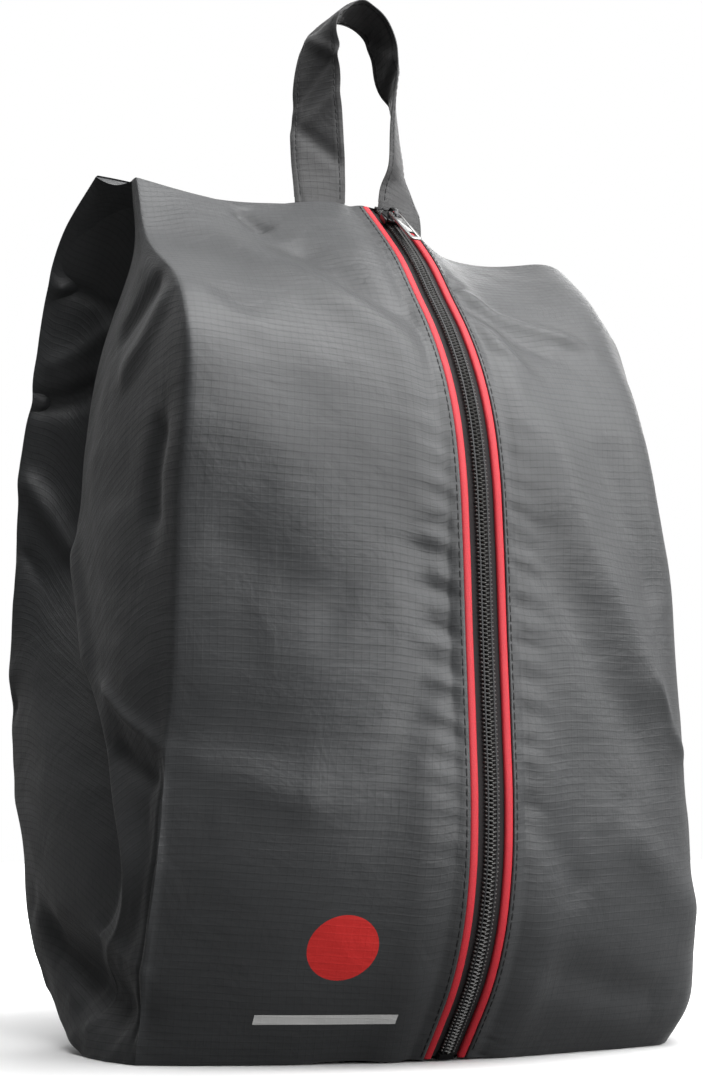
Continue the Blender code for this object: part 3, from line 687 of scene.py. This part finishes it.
def make_zip():
    """Tapes, piping, the two coils with their sewing thread, and the stops."""
    chain_start, chain_end = 2.8, ZIP_LENGTH - 3.2
    for side, word in SIDES:
        tape = [(1.0, -0.6), (10.4, -0.6), (10.4, 0.0), (1.0, 0.0)]
        section = [(side * x, h) for x, h in tape]
        strip = zip_strip("zip_tape_cloth_" + word, section, TAPE, 0.0, ZIP_LENGTH)
        place(strip, "bag", "zip_tape", "zip_tape_" + word)

        arch = [(5.9, 0.05), (9.3, 0.05)]
        for k in range(9):
            angle = math.pi * k / 8
            arch.append((7.6 + 1.75 * math.cos(angle), 0.5 + 1.2 * math.sin(angle) ** 0.7))
        section = [(side * x, h) for x, h in arch]
        bead = zip_strip("piping_cloth_" + word, section, PIPING, 0.3, ZIP_LENGTH - 0.3)
        place(bead, "bag", "red_piping", "piping_" + word)

        offset = 0.0 if side < 0 else TOOTH_PITCH / 2
        s = np.arange(chain_start + offset, chain_end, TOOTH_PITCH)
        starts = on_zip(side * 3.15, s - 0.28, 1.15)
        ends = on_zip(-side * 0.35, s + 0.22, 1.35)
        ups = along_zip(s, OUTWARDS)
        teeth = capsules("zip_teeth_" + word, starts, ends, ups, TOOTH_RADIUS, COIL, TOOTH, 8, 1.5)
        place(teeth, "bag", "zip_coil", "zip_coil_" + word)
        cord = [(side * x, h) for x, h in ((1.7, 1.55), (2.3, 1.55), (2.3, 2.02), (1.7, 2.02))]
        sewn = zip_strip("coil_thread_" + word, cord, THREAD, chain_start, chain_end)
        place(sewn, "bag", "zip_coil")

        corners = ((0.4, 0.3), (3.3, 0.3), (3.3, 2.3), (0.4, 2.3))
        stop = zip_strip("top_stop_" + word, [(side * x, h) for x, h in corners], GUN, 0.1, 2.5, 4)
        place(stop, "bag", "stop_metal", "zip_top_stop_" + word)
    corners = ((-3.6, 0.3), (3.6, 0.3), (3.2, 2.4), (-3.2, 2.4))
    stop = zip_strip("bottom_stop", corners, GUN, ZIP_LENGTH - 2.9, ZIP_LENGTH - 0.3, 4)
    place(stop, "bag", "stop_metal", "zip_bottom_stop")


# The shell

def inset_tube(name, points, depth, radius, material, centre=(0.0, 15.0)):
    """A round seam cord that follows a line just inside the bag."""
    points = np.asarray(points, float).copy()
    points[:, :2] += unit(np.array(centre) - points[:, :2]) * depth
    along = unit(np.gradient(points, axis=0))
    beside = unit(np.cross(along, (0.3, 0.5, 0.8)))
    above = np.cross(along, beside)
    turn = (np.arange(8) * math.pi / 4)[None, :, None]
    around = beside[:, None] * np.cos(turn) + above[:, None] * np.sin(turn)
    return loft(name, points[:, None] + radius * around, material)


def resample(points, count):
    """The same line as evenly spaced points."""
    runs = run_lengths(points)
    at = np.linspace(0, runs[-1], count)
    return np.stack([np.interp(at, runs, points[:, k]) for k in range(3)], axis=1)


# The seams up the inside: name, shell column, shell rows, and the y they are inset toward, in mm
INNER_SEAMS = (("front", EDGE_COL, slice(12, 210, 3), 15.0), ("back", BACK_COL, slice(12, 120, 3), 72.0))


def join_backs(halves):
    """Smooth the back across the middle, where the two halves of the shell meet."""
    right = halves[RIGHT][:, BACK_COL:]
    left = halves[LEFT][:, BACK_COL:]
    whole = np.concatenate([right[:, :-1], left[:, ::-1]], axis=1)
    middle = right.shape[1] - 1
    share = bell(np.arange(whole.shape[1]), middle, 26)[None, :, None]
    whole = whole * (1 - share) + gaussian(whole, 14, 1) * share
    halves[RIGHT][:, BACK_COL:] = whole[:, :middle + 1]
    halves[LEFT][:, BACK_COL:] = whole[:, middle:][:, ::-1]


def make_shell():
    """Front halves, gussets, back, ridge and base, with the seams inside them."""
    halves = {}
    for side, lines, folds in ((LEFT, LEFT_LINES, LEFT_FOLDS), (RIGHT, RIGHT_LINES, RIGHT_FOLDS)):
        halves[side] = fold(soften(side_ring(side, lines), side), folds, side)
    join_backs(halves)
    for side, word in SIDES:
        ring = halves[side]
        zipper = zip_points(row_shares())
        outward = zip_outward(zipper)
        turned = []
        for x, h in PANEL_RETURN:
            column = zipper + outward * h
            column[:, 0] = side * x
            turned.append(column)
        front = np.concatenate([np.stack(turned, axis=1), ring[:, :EDGE_COL + 1]], axis=1)
        gusset = ring[:, EDGE_COL:BACK_COL + 1]
        if side < 0:
            front, gusset = front[:, ::-1], gusset[:, ::-1]
        panel = grid_object("front_cloth_" + word, front, PRINTED if side < 0 else CLOTH)
        place(panel, "bag", "ripstop_nylon", "front_panel_" + word)
        flank = grid_object("gusset_cloth_" + word, gusset, CLOTH)
        place(flank, "bag", "ripstop_nylon", "gusset_" + word)
        for name, column, rows, middle_y in INNER_SEAMS:
            line = ring[rows, column]
            cord = inset_tube(name + "_seam_" + word, line, 7.5, 0.9, BINDING, (0.0, middle_y))
            place(cord, "bag", "seam_binding", name + "_binding_" + word)
        top = ring[-1, 40:110:4]
        cord = inset_tube("ridge_seam_" + word, top + (0, 3.0, -6.0), 0.0, 1.3, BINDING)
        place(cord, "bag", "seam_binding", "ridge_binding_" + word)

    left_back = halves[LEFT][:, BACK_COL:]
    right_back = halves[RIGHT][:, BACK_COL:]
    whole = np.concatenate([right_back[:, :-1], left_back[:, ::-1]], axis=1)
    place(grid_object("back_cloth", whole, CLOTH), "bag", "ripstop_nylon", "back_panel")

    cap_front, cap_back = [], []
    for side in (LEFT, RIGHT):
        ring = halves[side]
        edge = np.concatenate([zip_points(np.array([1.0])) + (0, 0, 1.0), ring[-1, :EDGE_COL + 1]])
        back = ring[-1, BACK_COL:][::-1]
        edge, back = resample(edge, 90), resample(back, 90)
        if side < 0:
            edge, back = edge[::-1], back[::-1]
        cap_front.append(edge if side < 0 else edge[1:])
        cap_back.append(back if side < 0 else back[1:])
    cap_front, cap_back = np.concatenate(cap_front), np.concatenate(cap_back)
    t = np.linspace(0, 1, 16)[:, None, None]
    cap = cap_front[None] * (1 - t) + cap_back[None] * t
    span = np.linalg.norm(cap_back - cap_front, axis=1)
    cap[..., 2] -= np.sin(math.pi * t[..., 0]) * 0.10 * span[None, :]
    right_end = resample(halves[RIGHT][-1, EDGE_COL:BACK_COL + 1], len(cap))
    near_end = np.clip(1 - np.arange(cap.shape[1])[::-1] / 12, 0, 1) ** 2
    cap += (right_end - cap[:, -1])[:, None] * near_end[None, :, None]
    place(grid_object("ridge_cloth", cap, CLOTH), "bag", "ripstop_nylon")

    outline = np.concatenate([halves[RIGHT][0], halves[LEFT][0][::-1][1:]])
    t = np.linspace(1, 0.02, 24)[:, None, None]
    centre = np.array([0.0, 10.0, 0.0])
    base = centre + (outline[None] - centre) * t
    base[..., 2] = 0.4 + (outline[None, :, 2] - 0.4) * t[..., 0] ** 4
    base = np.concatenate([base, base[:, :1]], axis=1)
    place(grid_object("bottom_cloth", base, CLOTH), "bag", "ripstop_nylon", "bottom_panel")
    for name, part in (("front", slice(30, 120, 6)), ("back", slice(BACK_COL + 6, None, 6))):
        line = np.concatenate([halves[LEFT][0, part][::(-1 if name == "front" else 1)],
                               halves[RIGHT][0, part][::(1 if name == "front" else -1)]])
        line = line + (0, 0, 3.0)
        cord = inset_tube("base_seam_" + name, line, 8.0, 1.3, BINDING)
        place(cord, "bag", "seam_binding", "base_binding_" + name)
    return halves


def stitch_row(name, points, normals, pitch, length, radius, material, lift=0.1):
    """Dashes of thread at a steady pitch along a line on the cloth."""
    runs = run_lengths(points)

    def at(s, values):
        return np.stack([np.interp(s, runs, values[:, k]) for k in range(3)], axis=-1)

    s = np.arange(1.0, runs[-1] - length - 1.0, pitch)
    ups = at(s + length / 2, normals)
    starts = at(s, points) + ups * lift
    ends = at(s + length, points) + ups * lift
    return capsules(name, starts, ends, ups, radius, material, flat=0.7)


STITCH_COLUMN = 2  # the shell column that the stitches beside the zip follow


def make_stitches(halves):
    """A row of stitches beside the piping on each side."""
    for side, word in SIDES:
        ring = halves[side]
        normal = outward_of(ring, side)
        line, ups = ring[::-1, STITCH_COLUMN], normal[::-1, STITCH_COLUMN]
        row = stitch_row("zip_stitches_" + word, line, ups, 3.9, 3.1, 0.33, THREAD)
        place(row, "bag", "ripstop_nylon")


# The slider and its tab, placed on the arc that the slider's joint turns about

ARC_RADIUS, ARC_Y, ARC_Z = 270.0, 159.0, 158.0
SLIDER_ANGLE = math.radians(130.1)


def on_slider(x, along, height):
    """Points at the slider: x across it, along toward its upper end, height out of the zip, in mm."""
    x, along, height = np.broadcast_arrays(*(np.asarray(v, float) for v in (x, along, height)))
    out = np.array([0.0, math.cos(SLIDER_ANGLE), math.sin(SLIDER_ANGLE)])
    down = np.array([0.0, -math.sin(SLIDER_ANGLE), math.cos(SLIDER_ANGLE)])
    base = np.array([0.0, ARC_Y, ARC_Z])
    points = base + out * (ARC_RADIUS + height)[..., None] + down * along[..., None]
    points[..., 0] = x
    return points


def plate(name, outline, low, high, material, bevel=0.25):
    """A flat plate with softened rims: an outline in (x, along) between two heights."""
    outline = np.array(outline, float)
    centre = outline.mean(0)
    rings = []
    for height, inset in ((low, bevel), (low + bevel, 0.0), (high - bevel, 0.0), (high, bevel)):
        reach = np.linalg.norm(outline - centre, axis=1)[:, None]
        shape = centre + (outline - centre) * (reach - inset) / reach
        rings.append(on_slider(shape[:, 0], shape[:, 1], height))
    return loft(name, rings, material)


def rounded(half_x, low, high, corner, steps=6, taper=0.0):
    """A rounded oblong outline, narrower at its far end by the taper."""
    points = []
    for cx, cy, start in (
        (half_x - corner, high - corner, 0), (-half_x + corner, high - corner, 90),
        (-half_x + corner, low + corner, 180), (half_x - corner, low + corner, 270),
    ):
        for k in range(steps + 1):
            angle = math.radians(start + 90 * k / steps)
            x, y = cx + corner * math.cos(angle), cy + corner * math.sin(angle)
            points.append((x * (1 - taper * (y - low) / (high - low)), y))
    return points


def make_slider():
    """Two plates joined by a wedge, lips down the sides, and a crown over a lock spring."""
    top = plate("slider_top_plate", rounded(4.5, -6.0, 6.0, 2.2, taper=0.12), 2.6, 3.9, GUN, 0.35)
    place(top, "slider", "slider_metal", "slider_body")
    for side, word in SIDES:
        lip = [(side * x, y) for x, y in rounded(0.45, -3.2, 3.8, 0.4)]
        lip = [(x + side * 4.5, y) for x, y in lip]
        place(plate("slider_lip_" + word, lip, 1.0, 3.4, GUN, 0.2), "slider", "slider_metal")
    under = plate("slider_under_plate", rounded(4.3, -5.8, 5.8, 2.0), -2.0, -0.9, GUN, 0.3)
    place(under, "slider", "slider_metal")
    wedge = plate("slider_wedge", rounded(1.0, -5.8, -3.8, 0.4), -0.9, 2.8, GUN, 0.1)
    place(wedge, "slider", "slider_metal")

    turn = np.linspace(0, math.pi, 22)
    rings = []
    for angle in turn:
        along = -4.4 * math.cos(angle)
        height = 3.7 + 3.6 * math.sin(angle) ** 0.55
        aim = np.array([-math.cos(angle), math.sin(angle)])
        ring = []
        for k in range(10):
            a = 2 * math.pi * k / 10
            x = 1.25 * math.cos(a)
            push = 0.55 * math.sin(a)
            ring.append(on_slider(x, along + aim[0] * push, height + aim[1] * push))
        rings.append(ring)
    place(loft("slider_crown", rings, GUN), "slider", "slider_metal", "slider_bridge")
    spring = plate("slider_spring", rounded(0.6, -3.2, 3.0, 0.3), 4.1, 4.3, SILVER, 0.05)
    place(spring, "slider", "spring_steel", "slider_lock_spring")


def make_tab():
    """The pull tab: a flat frame round the crown, a waist, and a blade with a long hole."""
    outer = rounded(2.8, -0.9, 30.5, 1.3)
    outline = []
    for x, y in outer:
        waist = 1 - 0.20 * math.exp(-((y - 9.0) / 2.5) ** 2)
        outline.append((x * waist, y))
    tab = plate("tab_plate", outline, 4.9, 5.9, SILVER, 0.28)
    cutters = []
    for name, shape in (
        ("tab_window", rounded(1.7, 0.6, 6.2, 0.9)),
        ("tab_hole", rounded(1.35, 22.0, 27.8, 1.3)),
    ):
        tool = plate(name, shape, 3.0, 8.0, SILVER, 0.05)
        tool.hide_render = True
        tool.display_type = "WIRE"
        cut = tab.modifiers.new(name, "BOOLEAN")
        cut.operation = "DIFFERENCE"
        cut.solver = "EXACT"
        cut.object = tool
        cutters.append(tool)
    deps = bpy.context.evaluated_depsgraph_get()
    mesh = bpy.data.meshes.new_from_object(tab.evaluated_get(deps))
    tab.modifiers.clear()
    tab.data = mesh
    for tool in cutters:
        bpy.data.objects.remove(tool, do_unlink=True)
    place(tab, "tab", "tab_metal", "pull_tab")


# The handle: the strap's middle line in mm with the way its face points, from left end to right end

STRAP_STATIONS = (
    ((-28.5, 0, 358), (0, -1, 0)),
    ((-28.5, 0, 380), (-0.05, -1, 0)),
    ((-29.5, 2, 402), (-0.45, -0.9, 0)),
    ((-29.5, 4, 425), (-0.70, -0.72, 0)),
    ((-29.5, 4, 446), (-0.85, -0.5, 0.1)),
    ((-28.5, 4, 459), (-0.9, -0.25, 0.35)),
    ((-22.5, 4, 470), (-0.6, -0.05, 0.8)),
    ((-12.0, 4, 474.5), (0, 0, 1)),
    ((-1.0, 4, 471), (0.55, 0.02, 0.83)),
    ((5.5, 4, 460), (0.92, 0.05, 0.35)),
    ((7.5, 4, 446), (1, 0.03, 0.03)),
    ((10.8, 4, 430), (0.9, -0.42, 0)),
    ((12.5, 4.5, 410), (0.78, -0.62, 0)),
    ((13.5, 3, 393), (0.62, -0.78, 0)),
    ((12.2, 0.5, 380), (0.22, -0.97, 0)),
    ((11.5, 0, 350), (0.10, -0.99, 0)),
)
STRAP_HALF, STRAP_HALF_THICK = 12.5, 0.9
STRAP_STEPS, STRAP_COLUMNS = 200, 20
# Creases across the strap: station of 200, slant and half width in stations, height in mm
STRAP_CREASES = (
    (36, -9, 4.5, -1.3), (47, 7, 3.5, 1.4), (62, 10, 3.5, -1.7), (74, -6, 3.0, 1.5), (84, 5, 3.0, -1.2),
    (103, -6, 3.0, 1.3), (117, 7, 3.5, -1.5), (129, -5, 3.0, 1.3), (166, 6, 4.0, -1.0),
)


def strap_frames():
    """Points, directions across, and facings along the strap."""
    spots = np.array([p for p, _ in STRAP_STATIONS], float)
    faces = np.array([f for _, f in STRAP_STATIONS], float)
    runs = run_lengths(spots)
    at = np.linspace(0, runs[-1], STRAP_STEPS)
    middle = hermite([(*p, r) for p, r in zip(spots, runs)], at)
    facing = hermite([(*f, r) for f, r in zip(faces, runs)], at)
    middle, facing = gaussian(middle, 3.0, 0), gaussian(facing, 4.0, 0)
    along = unit(np.gradient(middle, axis=0))
    facing = unit(facing - along * (facing * along).sum(1)[:, None])
    return middle, np.cross(along, facing), facing


STRAP_FOOT = 377.6  # where the swinging strap meets its sewn root, in mm


def make_handle():
    """The strap that swings, its stitches, and its two sewn roots on the bag."""
    middle, across, facing = strap_frames()
    turns = range(2 * STRAP_COLUMNS + 1)
    section = [(1 - k / STRAP_COLUMNS, 1.0) for k in turns]
    section += [(-1 + k / STRAP_COLUMNS, -1.0) for k in turns]
    wave = soft_noise((STRAP_STEPS, len(section)), 16, 24, 5)

    def bow(i, u):
        height = 0.9 * wave[i, round((1 - u) * STRAP_COLUMNS)] - 0.8 * u * u
        for station, slant, width, rise in STRAP_CREASES:
            height += rise * math.exp(-((i - station - slant * u) / width) ** 2)
        return height

    def cloth(name, stations, scale):
        rings = []
        for i in stations:
            ring = []
            for u, v in section:
                thick = STRAP_HALF_THICK * (1 - 0.75 * abs(u) ** 8)
                seam = 0.30 * math.exp(-((abs(u) - 0.78) / 0.03) ** 2)
                reach = across[i] * u * STRAP_HALF * (0.5 + 0.5 * scale)
                ring.append(middle[i] + reach + facing[i] * (v * (thick - seam) * scale + bow(i, u)))
            rings.append(ring)
        return loft(name, rings, STRAP, True)

    free = [i for i in range(STRAP_STEPS) if middle[i, 2] >= STRAP_FOOT]
    place(cloth("strap", free, 1.0), "handle", "strap_nylon", "handle_strap")
    for row, offset in (("near", -0.78), ("far", 0.78)):
        for face, sign in (("outer", 1), ("inner", -1)):
            rise = np.array([bow(i, offset) for i in range(STRAP_STEPS)])[:, None]
            line = middle + across * offset * STRAP_HALF + facing * (sign * 0.62 + rise)
            name, ups = f"strap_stitches_{row}_{face}", (facing * sign)[free]
            dashes = stitch_row(name, line[free], ups, 3.4, 2.7, 0.30, THREAD)
            place(dashes, "handle", "strap_nylon")
    sewn = [i for i in range(STRAP_STEPS) if middle[i, 2] < STRAP_FOOT + 1.5]
    for side, word in SIDES:
        stations = [i for i in sewn if (i - STRAP_STEPS // 2 + 0.5) * side > 0]
        root = cloth("strap_root_" + word, stations, 0.97)
        place(root, "bag", "strap_nylon", "handle_anchor_" + word)


# Area lights as (name, place, what they face, size, watts)
LIGHTS = (
    ("key_above", (0.25, -0.60, 1.45), (0.0, 0.0, 0.22), (1.5, 1.1), 26.0),
    ("front_soft", (0.45, -1.45, 0.55), (0.0, 0.0, 0.22), (1.3, 0.9), 18.5),
    ("fill_right", (1.2, -0.5, 0.80), (0.0, 0.0, 0.24), (0.7, 0.9), 7.0),
    ("top_left", (-0.55, -0.25, 1.45), (-0.12, 0.0, 0.22), (0.35, 0.35), 3.0),
    ("back_soft", (0.7, 1.3, 0.9), (0.0, 0.0, 0.2), (1.2, 1.0), 14.0),
)


def make_camera():
    camera = bpy.data.objects.new("camera", bpy.data.cameras.new("camera"))
    bpy.context.collection.objects.link(camera)
    camera.location = (-0.3349, -0.7229, 0.0872)
    camera.rotation_euler = (math.radians(90 + 9.51), 0.0, math.radians(-24.0))
    camera.data.lens = 59.67
    camera.data.sensor_width = 36.0
    camera.data.clip_start = 0.01
    bpy.context.scene.camera = camera


def make_lights():
    for name, spot, target, size, power in LIGHTS:
        light = bpy.data.objects.new(name, bpy.data.lights.new(name, "AREA"))
        bpy.context.collection.objects.link(light)
        light.location = spot
        light.rotation_euler = (Vector(target) - Vector(spot)).to_track_quat("-Z", "Y").to_euler()
        light.data.shape = "RECTANGLE"
        light.data.size, light.data.size_y = size
        light.data.energy = power


def make_world():
    """Soft light that is dimmer from below and from the left, behind a plain white backdrop."""
    world = bpy.data.worlds.new("studio")
    world.use_nodes = True
    tree = world.node_tree
    tree.nodes.clear()

    def node(kind, *values):
        made = tree.nodes.new(kind)
        for socket, value in enumerate(values):
            if value is None:
                continue
            if isinstance(value, bpy.types.NodeSocket):
                tree.links.new(value, made.inputs[socket])
            else:
                made.inputs[socket].default_value = value
        return made

    split = node("ShaderNodeSeparateXYZ", node("ShaderNodeTexCoord").outputs["Generated"])
    rise = node("ShaderNodeMapRange", split.outputs["Z"], -0.10, 0.95, 0.04, 1.15)
    aside = node("ShaderNodeMapRange", split.outputs["X"], -0.8, 0.5, 0.16, 1.0)
    power = node("ShaderNodeMath", rise.outputs[0], aside.outputs[0])
    power.operation = "MULTIPLY"
    soft = node("ShaderNodeBackground", (1, 1, 1, 1), power.outputs[0])
    white = node("ShaderNodeBackground", (1, 1, 1, 1), 1.0)
    seen = node("ShaderNodeLightPath")
    is_camera = seen.outputs["Is Camera Ray"]
    mix = node("ShaderNodeMixShader", is_camera, soft.outputs[0], white.outputs[0])
    node("ShaderNodeOutputWorld", mix.outputs[0])
    bpy.context.scene.world = world
    bpy.context.scene.view_settings.view_transform = "Standard"


def make_floor():
    """A pale floor that fades to white away from the bag and reflects little light up at it."""
    floor = bpy.data.meshes.new("floor")
    floor.from_pydata([(-6, -6, 0), (6, -6, 0), (6, 6, 0), (-6, 6, 0)], [], [(0, 1, 2, 3)])
    n = Nodes("floor")
    place_of = n.add("ShaderNodeTexCoord").outputs["Object"]
    reach = n.add("ShaderNodeVectorMath", {0: place_of}, operation="LENGTH").outputs["Value"]
    far = n.add("ShaderNodeMapRange", {0: reach, 1: 0.22, 2: 0.55, 3: 0.0, 4: 1.0}).outputs[0]
    seen = n.add("ShaderNodeLightPath").outputs["Is Camera Ray"]
    tone = n.math("MULTIPLY_ADD", seen, 0.76, 0.08)
    n.link(n.add("ShaderNodeCombineColor", {0: tone, 1: tone, 2: tone}).outputs[0], "Base Color")
    n.link(n.math("MULTIPLY", far, seen), "Emission Strength")
    n.set(Emission_Color=(1, 1, 1, 1), Roughness=0.8)
    floor.materials.append(n.material)
    ground = bpy.data.objects.new("floor", floor)
    bpy.context.collection.objects.link(ground)


make_camera()
make_lights()
make_world()
make_floor()
halves = make_shell()
make_zip()
make_stitches(halves)
make_slider()
make_tab()
make_handle()
